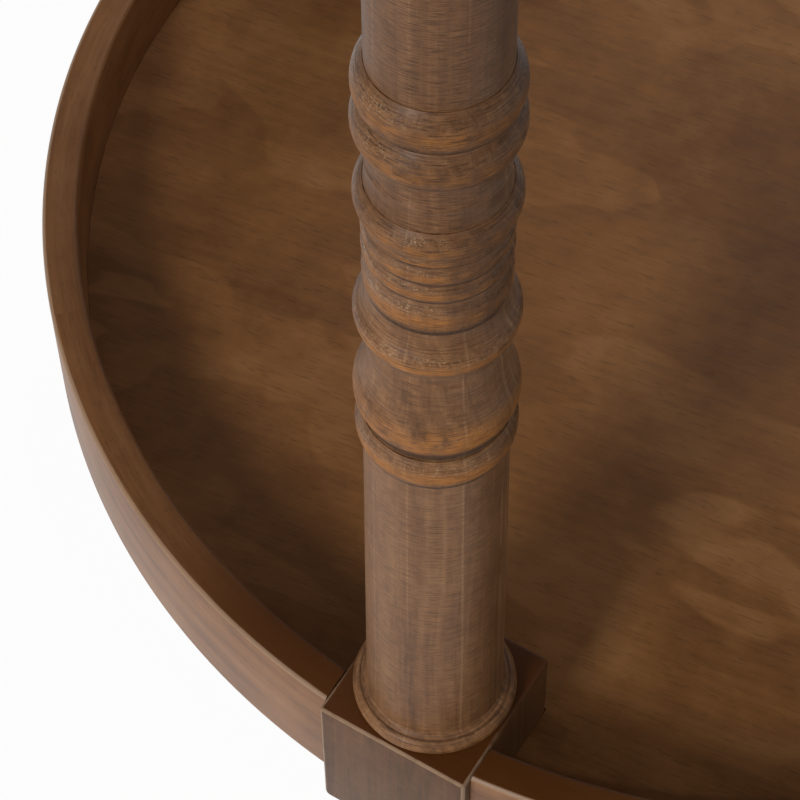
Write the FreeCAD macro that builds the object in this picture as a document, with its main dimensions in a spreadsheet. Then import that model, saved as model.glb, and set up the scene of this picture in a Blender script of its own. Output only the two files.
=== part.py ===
"""Round two-tier side table: two rimmed trays carried by three turned legs.

Millimetres, +Z up. The origin is on the floor, on the axis of the trays.
"""
import FreeCAD, Part
import math
import os
import Sketcher

LEGS = 3
STEP_ANGLE = 360 / LEGS
FIRST_LEG = 105

doc = FreeCAD.newDocument("RoundSideTable")
sheet = doc.addObject("Spreadsheet::Sheet", "Sizes")

SIZES = (
    ("tray_radius", 260, "outside of the rims"),
    ("rim_thickness", 12.5, "bent rim band, inside to outside"),
    ("rim_height", 47, "rim band, bottom to top"),
    ("rim_edge", 1.5, "easing of the rim's long edges"),
    ("tray_depth", 33, "rim top down to the tray floor"),
    ("panel_thickness", 12, "tray floor panel"),
    ("glue_line", 0.1, "gap at every glued face"),
    ("leg_inset", 23.5, "outside of the rims in to the axis of a leg"),
    ("block_width", 52, "square leg block"),
    ("block_shoulder", 16, "leg block below the rim's bottom"),
    ("block_edge", 1.5, "easing of the block's outline"),
    ("block_corner", 2, "rounding of the block's top corners"),
    ("shoulder_round", 7, "rounding of the block's lower corners"),
    ("tier_gap", 438, "lower blocks' tops to upper blocks' undersides"),
    ("foot_height", 80, "turned foot without its tenon"),
    ("tenon_radius", 11, "round tenons of spindles and feet"),
    ("tenon_length", 24, "round tenons of spindles and feet"),
    ("bore_clearance", 0.1, "radial room round tenons, dowels and pins"),
    ("bore_end", 1, "room past the end of a tenon, dowel or pin"),
    ("dowel_radius", 3, "dowels of rims and panels"),
    ("dowel_reach", 12, "dowel length on each side of a joint"),
    ("glide_radius", 11, "floor glide"),
    ("glide_height", 5, "floor glide"),
    ("pin_radius", 2.5, "pin of a floor glide"),
    ("pin_length", 12, "pin of a floor glide"),
    ("ring_neck", 23.0, "spindle base ring, where it meets the block"),
    ("ring_height", 6, "spindle base ring"),
    ("ring_swell", 2.3, "spindle base ring, past its neck"),
    ("shank_base", 20.9, "lower shank, above the base ring"),
    ("shank_head", 19.6, "lower shank, under the collar"),
    ("shank_height", 137.6, "lower shank"),
    ("collar_neck", 20.0, "collar under the bulb"),
    ("collar_height", 12.4, "collar under the bulb"),
    ("collar_swell", 1.65, "collar, past its neck"),
    ("quirk_radius", 19.6, "groove between collar and bulb"),
    ("quirk_height", 2.3, "groove between collar and bulb"),
    ("bulb_foot", 19.7, "bulb, lower edge"),
    ("bulb_shoulder", 20.3, "bulb, upper edge"),
    ("bulb_height", 14.2, "bulb"),
    ("bulb_swell", 1.9, "bulb, past its edges"),
    ("throat_radius", 18.2, "throat between bulb and disc"),
    ("throat_height", 13.5, "bulb's flank up to the throat"),
    ("throat_hollow", 0.4, "hollow of the bulb's flank"),
    ("under_height", 7.5, "throat up to the disc bead"),
    ("under_hollow", 0.8, "hollow under the disc bead"),
    ("disc_foot", 18.9, "disc bead, lower edge"),
    ("disc_shoulder", 19.6, "disc bead, upper edge"),
    ("disc_height", 9.5, "disc bead"),
    ("disc_swell", 2.05, "disc bead, past its edges"),
    ("scoop_height", 6, "scoop on top of the disc bead"),
    ("scoop_hollow", 0.35, "hollow of the scoop"),
    ("reed_neck", 18.0, "grooves of the reeded neck"),
    ("reed_swell", 0.8, "reeds, past their grooves"),
    ("band_height", 13.2, "plain band under the reeds"),
    ("reed_height", 6.9, "one reed"),
    ("saucer_neck", 18.1, "saucer bead, at its edges"),
    ("saucer_height", 9.9, "saucer bead"),
    ("saucer_swell", 2.4, "saucer bead, past its edges"),
    ("flare_foot", 17.9, "flare above the saucer bead"),
    ("flare_head", 17.6, "flare, at its upper end"),
    ("flare_height", 7.3, "flare above the saucer bead"),
    ("flare_hollow", 0.3, "hollow of the flare"),
    ("cove_neck", 17.3, "ends of the cove under the twin beads"),
    ("cove_height", 8.2, "cove under the twin beads"),
    ("cove_hollow", 0.4, "hollow of the cove"),
    ("low_bead_foot", 17.8, "lower twin bead, lower edge"),
    ("bead_crease", 17.7, "crease between the twin beads"),
    ("low_bead_height", 12.4, "lower twin bead"),
    ("low_bead_swell", 2.85, "lower twin bead, past its edges"),
    ("high_bead_head", 17.2, "upper twin bead, upper edge"),
    ("high_bead_height", 13.9, "upper twin bead"),
    ("high_bead_swell", 2.75, "upper twin bead, past its edges"),
    ("upper_shank", 17, "upper shank"),
    ("cap_neck", 18.8, "ring under the upper block"),
    ("cap_height", 6, "ring under the upper block"),
    ("cap_swell", 2, "ring under the upper block, past its neck"),
    ("foot_tip", 13, "foot at the glide"),
    ("foot_belly", 19, "foot, upper edge of its swelling"),
    ("foot_belly_height", 46, "foot's swelling"),
    ("foot_belly_swell", 3, "foot's swelling, past its edges"),
    ("foot_waist", 16.5, "foot's waist under its ring"),
    ("foot_waist_height", 13, "foot's waist"),
    ("foot_waist_hollow", 2, "hollow of the foot's waist"),
    ("foot_ring", 19.5, "foot's ring under the block"),
    ("foot_ring_swell", 2.5, "foot's ring, past its edges"),
)
for row, (alias, size, note) in enumerate(SIZES, start=1):
    sheet.set("A%d" % row, note)
    sheet.set("B%d" % row, str(size))
    sheet.setAlias("B%d" % row, alias)
doc.recompute()


class Size:
    """A length with its number and the expression that gives it."""

    def __init__(self, number, text):
        self.number = number
        self.text = text

    def __add__(self, other):
        other = as_size(other)
        return Size(self.number + other.number, "(%s + %s)" % (self.text, other.text))

    def __sub__(self, other):
        other = as_size(other)
        return Size(self.number - other.number, "(%s - %s)" % (self.text, other.text))

    def __mul__(self, other):
        other = as_size(other)
        return Size(self.number * other.number, "(%s * %s)" % (self.text, other.text))

    def __truediv__(self, other):
        other = as_size(other)
        return Size(self.number / other.number, "(%s / %s)" % (self.text, other.text))

    def root(self):
        return Size(math.sqrt(self.number), "sqrt(%s)" % self.text)


def as_size(given):
    return given if isinstance(given, Size) else Size(float(given), repr(given))


def cell(alias):
    return Size(float(getattr(sheet, alias)), "Sizes." + alias)


def bind(thing, path, size):
    """Give a property its number through an expression on the sheet."""
    thing.setExpression(path, size.text)


def place(thing, path, x=None, y=None, z=None):
    for axis, size in (("x", x), ("y", y), ("z", z)):
        if size is not None:
            bind(thing, "%s.Base.%s" % (path, axis), size)


def plane(body, role):
    return [item for item in body.Origin.OriginFeatures if item.Role == role][0]


def new_body(label):
    body = doc.addObject("PartDesign::Body", label)
    body.Label = label
    return body


def new_sketch(body, name, role):
    sketch = body.newObject("Sketcher::SketchObject", name)
    sketch.AttachmentSupport = [(plane(body, role), "")]
    sketch.MapMode = "FlatFace"
    return sketch


def constrain(sketch, size, *words):
    """Add a dimension to a sketch and tie it to the sheet."""
    index = sketch.addConstraint(Sketcher.Constraint(*words, size.number))
    sketch.setExpression("Constraints[%d]" % index, size.text)


def turn_about_z(angle):
    return FreeCAD.Rotation(FreeCAD.Vector(0, 0, 1), angle)


def on_leg(thing, index, height):
    """Stand a piece on a leg's axis, its X pointing away from the table."""
    angle = FIRST_LEG + STEP_ANGLE * index
    thing.Placement = FreeCAD.Placement(FreeCAD.Vector(), turn_about_z(angle))
    bind(thing, "Placement.Base.x", leg_circle * Size(math.cos(math.radians(angle)), "cos(%r deg)" % angle))
    bind(thing, "Placement.Base.y", leg_circle * Size(math.sin(math.radians(angle)), "sin(%r deg)" % angle))
    bind(thing, "Placement.Base.z", height)


def bore(body, name, radius, depth, turn, x=None, y=None, z=None):
    """Cut a round hole that starts at a point and runs along the turned Z."""
    hole = body.newObject("PartDesign::SubtractiveCylinder", name)
    hole.AttachmentSupport = [(plane(body, "XY_Plane"), "")]
    hole.MapMode = "FlatFace"
    hole.AttachmentOffset = FreeCAD.Placement(FreeCAD.Vector(), turn)
    bind(hole, "Radius", radius)
    bind(hole, "Height", depth)
    place(hole, "AttachmentOffset", x, y, z)
    doc.recompute()
    return hole


ALONG_X = FreeCAD.Rotation(FreeCAD.Vector(0, 0, 1), FreeCAD.Vector(1, 0, 0))
ALONG_Y = FreeCAD.Rotation(FreeCAD.Vector(0, 0, 1), FreeCAD.Vector(0, 1, 0))
UPWARD = FreeCAD.Rotation()

leg_circle = cell("tray_radius") - cell("leg_inset")
rim_inside = cell("tray_radius") - cell("rim_thickness")
rim_middle = cell("tray_radius") - cell("rim_thickness") / 2
half_block = cell("block_width") / 2
block_height = cell("rim_height") + cell("block_shoulder")
dowel_hole = cell("dowel_radius") + cell("bore_clearance")
dowel_depth = cell("dowel_reach") + cell("bore_end")
tenon_hole = cell("tenon_radius") + cell("bore_clearance")
tenon_depth = cell("tenon_length") + cell("bore_end")
rim_dowel_out = (rim_middle * rim_middle - half_block * half_block).root()
rim_dowel_up = cell("rim_height") / 2
panel_up = cell("rim_height") - cell("tray_depth") - cell("panel_thickness")
panel_dowel_up = panel_up + cell("panel_thickness") / 2

foot_bottom = cell("glide_height")
lower_block_bottom = foot_bottom + cell("foot_height")
lower_rim_bottom = lower_block_bottom + cell("block_shoulder")
spindle_bottom = lower_block_bottom + block_height
upper_block_bottom = spindle_bottom + cell("tier_gap")
upper_rim_bottom = upper_block_bottom + cell("block_shoulder")
TIERS = (("lower", lower_rim_bottom), ("upper", upper_rim_bottom))
nodes = []


# Turned work: a half outline, spun about its axis

def turned(label, outline):
    """Spin an outline given as (kind, radius, height, swell) corners.

    kind says how the outline reaches that corner: "line", "bead" or "cove".
    """
    body = new_body(label)
    sketch = new_sketch(body, label + "_outline", "XZ_Plane")
    corners = [FreeCAD.Vector(radius.number, height.number, 0) for kind, radius, height, swell in outline]
    ends = []
    for index in range(1, len(outline)):
        kind, radius, height, swell = outline[index]
        start, stop = corners[index - 1], corners[index]
        if kind == "line":
            edge = sketch.addGeometry(Part.LineSegment(start, stop))
            ends.append((edge, 1, 2))
            continue
        chord = stop - start
        outward = FreeCAD.Vector(chord.y, -chord.x, 0).normalize()
        side = 1 if kind == "bead" else -1
        middle = (start + stop) * 0.5 + outward * (side * swell.number)
        edge = sketch.addGeometry(Part.Arc(start, middle, stop))
        ends.append((edge, 1, 2) if kind == "bead" else (edge, 2, 1))
        old_radius, old_height = outline[index - 1][1], outline[index - 1][2]
        wide, tall = radius - old_radius, height - old_height
        bow = (wide * wide + tall * tall) / (swell * 8) + swell / 2
        constrain(sketch, bow, "Radius", edge)
    axis = sketch.addGeometry(Part.LineSegment(corners[-1], corners[0]))
    ends.append((axis, 1, 2))
    for index, (edge, first, last) in enumerate(ends):
        follower, follower_first, _ = ends[(index + 1) % len(ends)]
        sketch.addConstraint(Sketcher.Constraint("Coincident", edge, last, follower, follower_first))
    for index, (kind, radius, height, swell) in enumerate(outline):
        edge, first, _ = ends[index]
        if radius.number == 0:
            sketch.addConstraint(Sketcher.Constraint("PointOnObject", edge, first, -2))
        else:
            constrain(sketch, radius, "DistanceX", -1, 1, edge, first)
        if height.number == 0:
            sketch.addConstraint(Sketcher.Constraint("PointOnObject", edge, first, -1))
        else:
            constrain(sketch, height, "DistanceY", -1, 1, edge, first)
    spin = body.newObject("PartDesign::Revolution", label + "_turning")
    spin.Profile = sketch
    spin.ReferenceAxis = (sketch, ["V_Axis"])
    spin.Angle = 360
    return body


def climb(outline, kind, radius, rise, swell=None):
    """Add a corner that lies a rise above the last one."""
    outline.append((kind, cell(radius), outline[-1][2] + rise, swell))


def step(outline, radius):
    """Add a flat step to a new radius at the same height."""
    outline.append(("line", cell(radius), outline[-1][2], None))


ZERO = Size(0.0, "0")


def spindle_outline():
    tenon, reach = cell("tenon_radius"), cell("tenon_length")
    below = ZERO - reach
    outline = [("line", ZERO, below, None), ("line", tenon, below, None), ("line", tenon, ZERO, None)]
    step(outline, "ring_neck")
    climb(outline, "bead", "ring_neck", cell("ring_height"), cell("ring_swell"))
    step(outline, "shank_base")
    climb(outline, "line", "shank_head", cell("shank_height"))
    step(outline, "collar_neck")
    climb(outline, "bead", "collar_neck", cell("collar_height"), cell("collar_swell"))
    step(outline, "quirk_radius")
    climb(outline, "line", "quirk_radius", cell("quirk_height"))
    step(outline, "bulb_foot")
    climb(outline, "bead", "bulb_shoulder", cell("bulb_height"), cell("bulb_swell"))
    climb(outline, "cove", "throat_radius", cell("throat_height"), cell("throat_hollow"))
    climb(outline, "cove", "disc_foot", cell("under_height"), cell("under_hollow"))
    climb(outline, "bead", "disc_shoulder", cell("disc_height"), cell("disc_swell"))
    climb(outline, "cove", "reed_neck", cell("scoop_height"), cell("scoop_hollow"))
    climb(outline, "bead", "reed_neck", cell("band_height"), cell("reed_swell"))
    for _ in range(2):
        climb(outline, "bead", "reed_neck", cell("reed_height"), cell("reed_swell"))
    climb(outline, "bead", "reed_neck", cell("reed_height") / 2, cell("reed_swell") / 2)
    step(outline, "saucer_neck")
    climb(outline, "bead", "saucer_neck", cell("saucer_height"), cell("saucer_swell"))
    step(outline, "flare_foot")
    climb(outline, "cove", "flare_head", cell("flare_height"), cell("flare_hollow"))
    step(outline, "cove_neck")
    climb(outline, "cove", "cove_neck", cell("cove_height"), cell("cove_hollow"))
    step(outline, "low_bead_foot")
    climb(outline, "bead", "bead_crease", cell("low_bead_height"), cell("low_bead_swell"))
    climb(outline, "bead", "high_bead_head", cell("high_bead_height"), cell("high_bead_swell"))
    step(outline, "upper_shank")
    top = cell("tier_gap")
    cap_bottom = top - cell("cap_height")
    outline.append(("line", cell("upper_shank"), cap_bottom, None))
    step(outline, "cap_neck")
    outline.append(("bead", cell("cap_neck"), top, cell("cap_swell")))
    outline.append(("line", tenon, top, None))
    outline.append(("line", tenon, top + reach, None))
    outline.append(("line", ZERO, top + reach, None))
    return outline


def foot_outline():
    pin = cell("pin_radius") + cell("bore_clearance")
    depth = cell("pin_length") + cell("bore_end")
    top, tenon = cell("foot_height"), cell("tenon_radius")
    outline = [("line", ZERO, depth, None), ("line", pin, depth, None), ("line", pin, ZERO, None)]
    step(outline, "foot_tip")
    climb(outline, "bead", "foot_belly", cell("foot_belly_height"), cell("foot_belly_swell"))
    climb(outline, "cove", "foot_waist", cell("foot_waist_height"), cell("foot_waist_hollow"))
    step(outline, "foot_ring")
    outline.append(("bead", cell("foot_ring"), top, cell("foot_ring_swell")))
    outline.append(("line", tenon, top, None))
    outline.append(("line", tenon, top + cell("tenon_length"), None))
    outline.append(("line", ZERO, top + cell("tenon_length"), None))
    return outline


for leg in range(LEGS):
    spindle = turned("spindle_%d" % (leg + 1), spindle_outline())
    on_leg(spindle, leg, spindle_bottom)
    nodes.append(spindle)
    foot = turned("foot_%d" % (leg + 1), foot_outline())
    on_leg(foot, leg, foot_bottom)
    nodes.append(foot)


# Leg blocks: square, rounded at the lower corners, bored for tenons and dowels

def block_outline(sketch):
    """Front outline: X across the block, Y up, with rounded corners."""
    low, high = cell("shoulder_round"), cell("block_corner")
    half, tall = half_block.number, block_height.number
    quarter = math.pi / 2
    centres = (
        (half - low.number, low.number, low, -quarter),
        (half - high.number, tall - high.number, high, 0.0),
        (high.number - half, tall - high.number, high, quarter),
        (low.number - half, low.number, low, 2 * quarter),
    )
    up = FreeCAD.Vector(0, 0, 1)
    arcs = []
    for x, y, radius, start in centres:
        circle = Part.Circle(FreeCAD.Vector(x, y, 0), up, radius.number)
        arcs.append(sketch.addGeometry(Part.ArcOfCircle(circle, start, start + quarter)))
    sides = []
    for index, arc in enumerate(arcs):
        follower = arcs[(index + 1) % len(arcs)]
        begin = sketch.getPoint(arc, 2)
        finish = sketch.getPoint(follower, 1)
        side = sketch.addGeometry(Part.LineSegment(begin, finish))
        sketch.addConstraint(Sketcher.Constraint("Tangent", arc, 2, side, 1))
        sketch.addConstraint(Sketcher.Constraint("Tangent", side, 2, follower, 1))
        sides.append(side)
    right, top, left, bottom = sides
    sketch.addConstraint(Sketcher.Constraint("Vertical", right))
    sketch.addConstraint(Sketcher.Constraint("Horizontal", top))
    sketch.addConstraint(Sketcher.Constraint("Vertical", left))
    sketch.addConstraint(Sketcher.Constraint("PointOnObject", bottom, 1, -1))
    sketch.addConstraint(Sketcher.Constraint("PointOnObject", bottom, 2, -1))
    for arc, radius in zip(arcs, (low, high, high, low)):
        constrain(sketch, radius, "Radius", arc)
    constrain(sketch, half_block, "DistanceX", -1, 1, right, 1)
    constrain(sketch, half_block, "DistanceX", left, 1, -1, 1)
    constrain(sketch, block_height, "DistanceY", -1, 1, top, 1)


def leg_block(label, bored_on_top):
    body = new_body(label)
    sketch = new_sketch(body, label + "_outline", "YZ_Plane")
    block_outline(sketch)
    pad = body.newObject("PartDesign::Pad", label + "_blank")
    pad.Profile = sketch
    pad.Midplane = True
    bind(pad, "Length", cell("block_width"))
    doc.recompute()
    names = []
    for number, edge in enumerate(pad.Shape.Edges, start=1):
        middle = edge.CenterOfMass
        ends = {round(vertex.X, 3) for vertex in edge.Vertexes}
        if len(ends) == 1 and abs(abs(middle.x) - half_block.number) < 0.01:
            names.append("Edge%d" % number)
    ease = body.newObject("PartDesign::Fillet", label + "_easing")
    ease.Base = (pad, names)
    bind(ease, "Radius", cell("block_edge"))
    doc.recompute()
    bore(body, label + "_lower_bore", tenon_hole, tenon_depth, UPWARD)
    if bored_on_top:
        bore(body, label + "_upper_bore", tenon_hole, tenon_depth, UPWARD, z=block_height - tenon_depth)
    rim_up = cell("block_shoulder") + rim_dowel_up
    out = rim_dowel_out - leg_circle
    for name, start in (("_right", ZERO - half_block), ("_left", half_block - dowel_depth)):
        bore(body, label + name, dowel_hole, dowel_depth, ALONG_Y, x=out, y=start, z=rim_up)
    shelf_up = cell("block_shoulder") + panel_dowel_up
    bore(body, label + "_inner", dowel_hole, dowel_depth, ALONG_X, x=ZERO - half_block, z=shelf_up)
    return body


for leg in range(LEGS):
    lower = leg_block("lower_block_%d" % (leg + 1), True)
    on_leg(lower, leg, lower_block_bottom)
    upper = leg_block("upper_block_%d" % (leg + 1), False)
    on_leg(upper, leg, upper_block_bottom)
    nodes.extend((lower, upper))


# Tray rims: bent bands between the blocks

def rim_band(label, turn, height):
    body = new_body(label)
    sketch = new_sketch(body, label + "_plan", "XY_Plane")
    lean = STEP_ANGLE / 2
    gap = half_block + cell("glue_line")
    origin, up = FreeCAD.Vector(), FreeCAD.Vector(0, 0, 1)
    arcs = []
    for radius in (rim_inside, cell("tray_radius")):
        spread = math.radians(lean) - math.asin(gap.number / radius.number)
        circle = Part.Circle(origin, up, radius.number)
        arc = sketch.addGeometry(Part.ArcOfCircle(circle, -spread, spread))
        sketch.addConstraint(Sketcher.Constraint("Coincident", arc, 3, -1, 1))
        constrain(sketch, radius, "Radius", arc)
        arcs.append(arc)
    inner, outer = arcs
    for end, angle in ((1, -lean), (2, lean)):
        begin, finish = sketch.getPoint(inner, end), sketch.getPoint(outer, end)
        side = sketch.addGeometry(Part.LineSegment(begin, finish))
        sketch.addConstraint(Sketcher.Constraint("Coincident", side, 1, inner, end))
        sketch.addConstraint(Sketcher.Constraint("Coincident", side, 2, outer, end))
        sketch.addConstraint(Sketcher.Constraint("Angle", -1, 1, side, 1, math.radians(angle)))
        constrain(sketch, gap, "Distance", -1, 1, side)
    pad = body.newObject("PartDesign::Pad", label + "_blank")
    pad.Profile = sketch
    bind(pad, "Length", cell("rim_height"))
    doc.recompute()
    names = []
    for number, edge in enumerate(pad.Shape.Edges, start=1):
        if isinstance(edge.Curve, Part.Circle):
            names.append("Edge%d" % number)
    ease = body.newObject("PartDesign::Fillet", label + "_easing")
    ease.Base = (pad, names)
    bind(ease, "Radius", cell("rim_edge"))
    doc.recompute()
    for name, side in (("_first", -1), ("_second", 1)):
        angle = math.radians(side * lean)
        outward = (Size(math.cos(angle), "cos(%r deg)" % lean), Size(math.sin(angle), "sin(%r deg)" % (side * lean)))
        inward = (outward[1] * side, ZERO - outward[0] * side)
        turn_hole = FreeCAD.Rotation(up, FreeCAD.Vector(inward[0].number, inward[1].number, 0))
        spot = [rim_dowel_out * outward[i] + gap * inward[i] for i in range(2)]
        bore(body, label + name, dowel_hole, dowel_depth, turn_hole, spot[0], spot[1], rim_dowel_up)
    body.Placement = FreeCAD.Placement(origin, turn_about_z(turn))
    bind(body, "Placement.Base.z", height)
    return body


for tier, height in TIERS:
    for index in range(LEGS):
        middle = FIRST_LEG + STEP_ANGLE * (index + 0.5)
        nodes.append(rim_band("%s_rim_%d" % (tier, index + 1), middle, height))


# Tray floors: round panels, notched for the blocks

def repeat_round(body, cut):
    """Repeat a cut once for every leg."""
    ring = body.newObject("PartDesign::PolarPattern", cut.Name + "_ring")
    ring.Originals = [cut]
    ring.Axis = (plane(body, "Z_Axis"), [""])
    ring.Angle = 360
    ring.Occurrences = LEGS
    body.Tip = ring
    doc.recompute()


def tray_panel(label, height):
    body = new_body(label)
    edge = rim_inside - cell("glue_line")
    sketch = new_sketch(body, label + "_plan", "XY_Plane")
    disc = sketch.addGeometry(Part.Circle(FreeCAD.Vector(), FreeCAD.Vector(0, 0, 1), edge.number))
    sketch.addConstraint(Sketcher.Constraint("Coincident", disc, 3, -1, 1))
    constrain(sketch, edge, "Radius", disc)
    pad = body.newObject("PartDesign::Pad", label + "_blank")
    pad.Profile = sketch
    bind(pad, "Length", cell("panel_thickness"))
    doc.recompute()
    notch = body.newObject("PartDesign::SubtractiveBox", label + "_notch")
    notch.AttachmentSupport = [(plane(body, "XY_Plane"), "")]
    notch.MapMode = "FlatFace"
    seat = leg_circle - half_block - cell("glue_line")
    bind(notch, "Length", cell("block_width") + cell("glue_line"))
    bind(notch, "Width", cell("block_width") + cell("glue_line") * 2)
    bind(notch, "Height", cell("panel_thickness"))
    place(notch, "AttachmentOffset", seat, ZERO - half_block - cell("glue_line"), ZERO)
    doc.recompute()
    repeat_round(body, notch)
    middle = cell("panel_thickness") / 2
    hole = bore(body, label + "_hole", dowel_hole, dowel_depth, ALONG_X, x=seat - dowel_depth, z=middle)
    repeat_round(body, hole)
    body.Placement = FreeCAD.Placement(FreeCAD.Vector(), turn_about_z(FIRST_LEG))
    bind(body, "Placement.Base.z", height + panel_up)
    return body


for tier, height in TIERS:
    nodes.append(tray_panel(tier + "_panel", height))


# Dowels and glides: turned pins in groups

def group(label, members):
    bundle = doc.addObject("Part::Compound", label)
    bundle.Links = members
    bundle.Label = label
    nodes.append(bundle)


def pin(name, radius, length):
    cylinder = doc.addObject("Part::Cylinder", name)
    bind(cylinder, "Radius", radius)
    bind(cylinder, "Height", length)
    return cylinder


def spot_on_leg(thing, index, direction, out, across, height):
    """Place a pin at a point of a leg's own frame, along a direction of it."""
    angle = FIRST_LEG + STEP_ANGLE * index
    turn = turn_about_z(angle)
    aim = FreeCAD.Rotation(FreeCAD.Vector(0, 0, 1), turn.multVec(direction))
    thing.Placement = FreeCAD.Placement(FreeCAD.Vector(), aim)
    cosine = Size(math.cos(math.radians(angle)), "cos(%r deg)" % angle)
    sine = Size(math.sin(math.radians(angle)), "sin(%r deg)" % angle)
    place(thing, "Placement", out * cosine - across * sine, out * sine + across * cosine, height)


dowel_length = cell("dowel_reach") * 2
for tier, height in TIERS:
    rim_dowels = []
    panel_dowels = []
    for leg in range(LEGS):
        for side, face in ((-1, "a"), (1, "b")):
            dowel = pin("%s_rim_dowel_%d%s" % (tier, leg + 1, face), cell("dowel_radius"), dowel_length)
            start = half_block * side - cell("dowel_reach") * side
            aim = FreeCAD.Vector(0, side, 0)
            spot_on_leg(dowel, leg, aim, rim_dowel_out, start, height + rim_dowel_up)
            rim_dowels.append(dowel)
        dowel = pin("%s_panel_dowel_%d" % (tier, leg + 1), cell("dowel_radius"), dowel_length)
        inner = leg_circle - half_block + cell("dowel_reach")
        spot_on_leg(dowel, leg, FreeCAD.Vector(-1, 0, 0), inner, ZERO, height + panel_dowel_up)
        panel_dowels.append(dowel)
    group(tier + "_rim_dowels", rim_dowels)
    group(tier + "_panel_dowels", panel_dowels)

glides = []
for leg in range(LEGS):
    pad = pin("glide_pad_%d" % (leg + 1), cell("glide_radius"), cell("glide_height"))
    stem = pin("glide_stem_%d" % (leg + 1), cell("pin_radius"), cell("glide_height") + cell("pin_length"))
    whole = doc.addObject("Part::Fuse", "glide_%d" % (leg + 1))
    whole.Base = pad
    whole.Tool = stem
    spot_on_leg(whole, leg, FreeCAD.Vector(0, 0, 1), leg_circle, ZERO, ZERO)
    glides.append(whole)
group("glides", glides)

doc.recompute()
for thing in doc.Objects:
    if "Invalid" in thing.State or "Error" in thing.State:
        raise RuntimeError("%s could not be built: %s" % (thing.Label, thing.State))
for node in nodes:
    if node.Shape.isNull() or not node.Shape.isValid():
        raise RuntimeError("%s has no valid shape" % node.Label)

os.makedirs("parts", exist_ok=True)
for node in nodes:
    node.Shape.exportStep("parts/%s.step" % node.Label)
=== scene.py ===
# %% [markdown]
# # A round side table with turned legs
# Two rimmed trays are carried by three turned legs. The engineering model gives every piece its size
# and place. This lesson dresses it: the turned work, the leg blocks and the bent rims are modelled
# again with fine edges, and every surface gets its finish, which is mostly stained wood. The frame
# comes first, because the pieces that follow take their places from it.

# %% Load the frame
import math
from types import SimpleNamespace

import bpy
from mathutils import Matrix, Vector


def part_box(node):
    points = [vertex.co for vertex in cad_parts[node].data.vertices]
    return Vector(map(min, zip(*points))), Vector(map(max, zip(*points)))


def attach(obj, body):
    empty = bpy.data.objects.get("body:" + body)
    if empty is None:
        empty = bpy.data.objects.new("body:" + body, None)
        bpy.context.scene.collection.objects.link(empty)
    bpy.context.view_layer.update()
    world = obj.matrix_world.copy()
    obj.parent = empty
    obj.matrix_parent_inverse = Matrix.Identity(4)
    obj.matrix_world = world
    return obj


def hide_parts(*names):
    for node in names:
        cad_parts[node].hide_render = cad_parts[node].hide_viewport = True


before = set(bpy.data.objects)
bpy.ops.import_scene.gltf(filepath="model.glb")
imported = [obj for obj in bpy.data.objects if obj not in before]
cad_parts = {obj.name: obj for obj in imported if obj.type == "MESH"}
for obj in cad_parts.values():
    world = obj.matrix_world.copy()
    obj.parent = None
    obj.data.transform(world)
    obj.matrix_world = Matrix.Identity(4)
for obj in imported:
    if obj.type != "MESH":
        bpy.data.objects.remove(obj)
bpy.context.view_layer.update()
print("nodes in the frame:", len(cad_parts))

# %% [markdown]
# ## Sizes from the frame
# The trays, blocks and spindles tell where everything is. A leg's axis is the middle of its
# spindle, and the blocks give the heights between which the turned work stands. The third rim crosses
# the X axis, so its box reaches out to the tray's radius. Sizes could be typed in, but read from the
# frame they stay in step with it. Two of them can't be read from a box and are given: the glue line,
# and the width of the blocks, which stand turned, so that their boxes are wider than they are.

# %% Read the main sizes
lower_block_low, lower_block_high = (Vector(corner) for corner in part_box("lower_block_1"))
upper_block_low, upper_block_high = (Vector(corner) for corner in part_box("upper_block_1"))
lower_rim_low, lower_rim_high = (Vector(corner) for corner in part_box("lower_rim_3"))
upper_rim_low, _ = (Vector(corner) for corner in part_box("upper_rim_3"))
foot_low, _ = (Vector(corner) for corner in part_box("foot_1"))
_, panel_high = (Vector(corner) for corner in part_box("lower_panel"))

MM = 0.001
GLUE_LINE = 0.1 * MM
BLOCK_WIDTH = 52 * MM
block_height = lower_block_high.z - lower_block_low.z
tray_radius = lower_rim_high.x
rim_inside = panel_high.x + GLUE_LINE
rim_height = lower_rim_high.z - lower_rim_low.z
tier_rise = upper_rim_low.z - lower_rim_low.z


def leg_axis(index):
    """The foot of a leg's axis on the floor."""
    low, high = (Vector(corner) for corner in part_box("spindle_%d" % (index + 1)))
    middle = (low + high) / 2
    return Vector((middle.x, middle.y, 0))


def leg_turn(index):
    """The angle round the table at which a leg stands."""
    axis = leg_axis(index)
    return math.atan2(axis.y, axis.x)


print("tray radius %.3f m, legs on a circle of %.3f m" % (tray_radius, leg_axis(0).length))

# %% [markdown]
# ## Working by hand, in code
# Operators act on whatever is selected, so each piece starts from an empty selection. A finished
# piece keeps its place in its mesh. Linked copies would share one mesh, but each leg needs a grain of
# its own, so copies get their own mesh, which is then turned and moved.

# %% Small helpers for pieces
WELD_DISTANCE = 0.004 * MM


def start_piece():
    """Leave nothing selected."""
    if bpy.context.object and bpy.context.object.mode == "EDIT":
        bpy.ops.object.mode_set(mode="OBJECT")
    bpy.ops.object.select_all(action="DESELECT")


def clean_shell():
    """Close seams and poles and turn all faces outwards."""
    bpy.ops.object.mode_set(mode="EDIT")
    bpy.ops.mesh.select_all(action="SELECT")
    bpy.ops.mesh.remove_doubles(threshold=WELD_DISTANCE)
    bpy.ops.mesh.normals_make_consistent(inside=False)
    bpy.ops.object.mode_set(mode="OBJECT")


def smooth(piece, angle):
    """Shade a piece smooth, except at edges sharper than an angle in degrees."""
    start_piece()
    piece.select_set(True)
    bpy.context.view_layer.objects.active = piece
    bpy.ops.object.shade_smooth_by_angle(angle=math.radians(angle))


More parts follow.
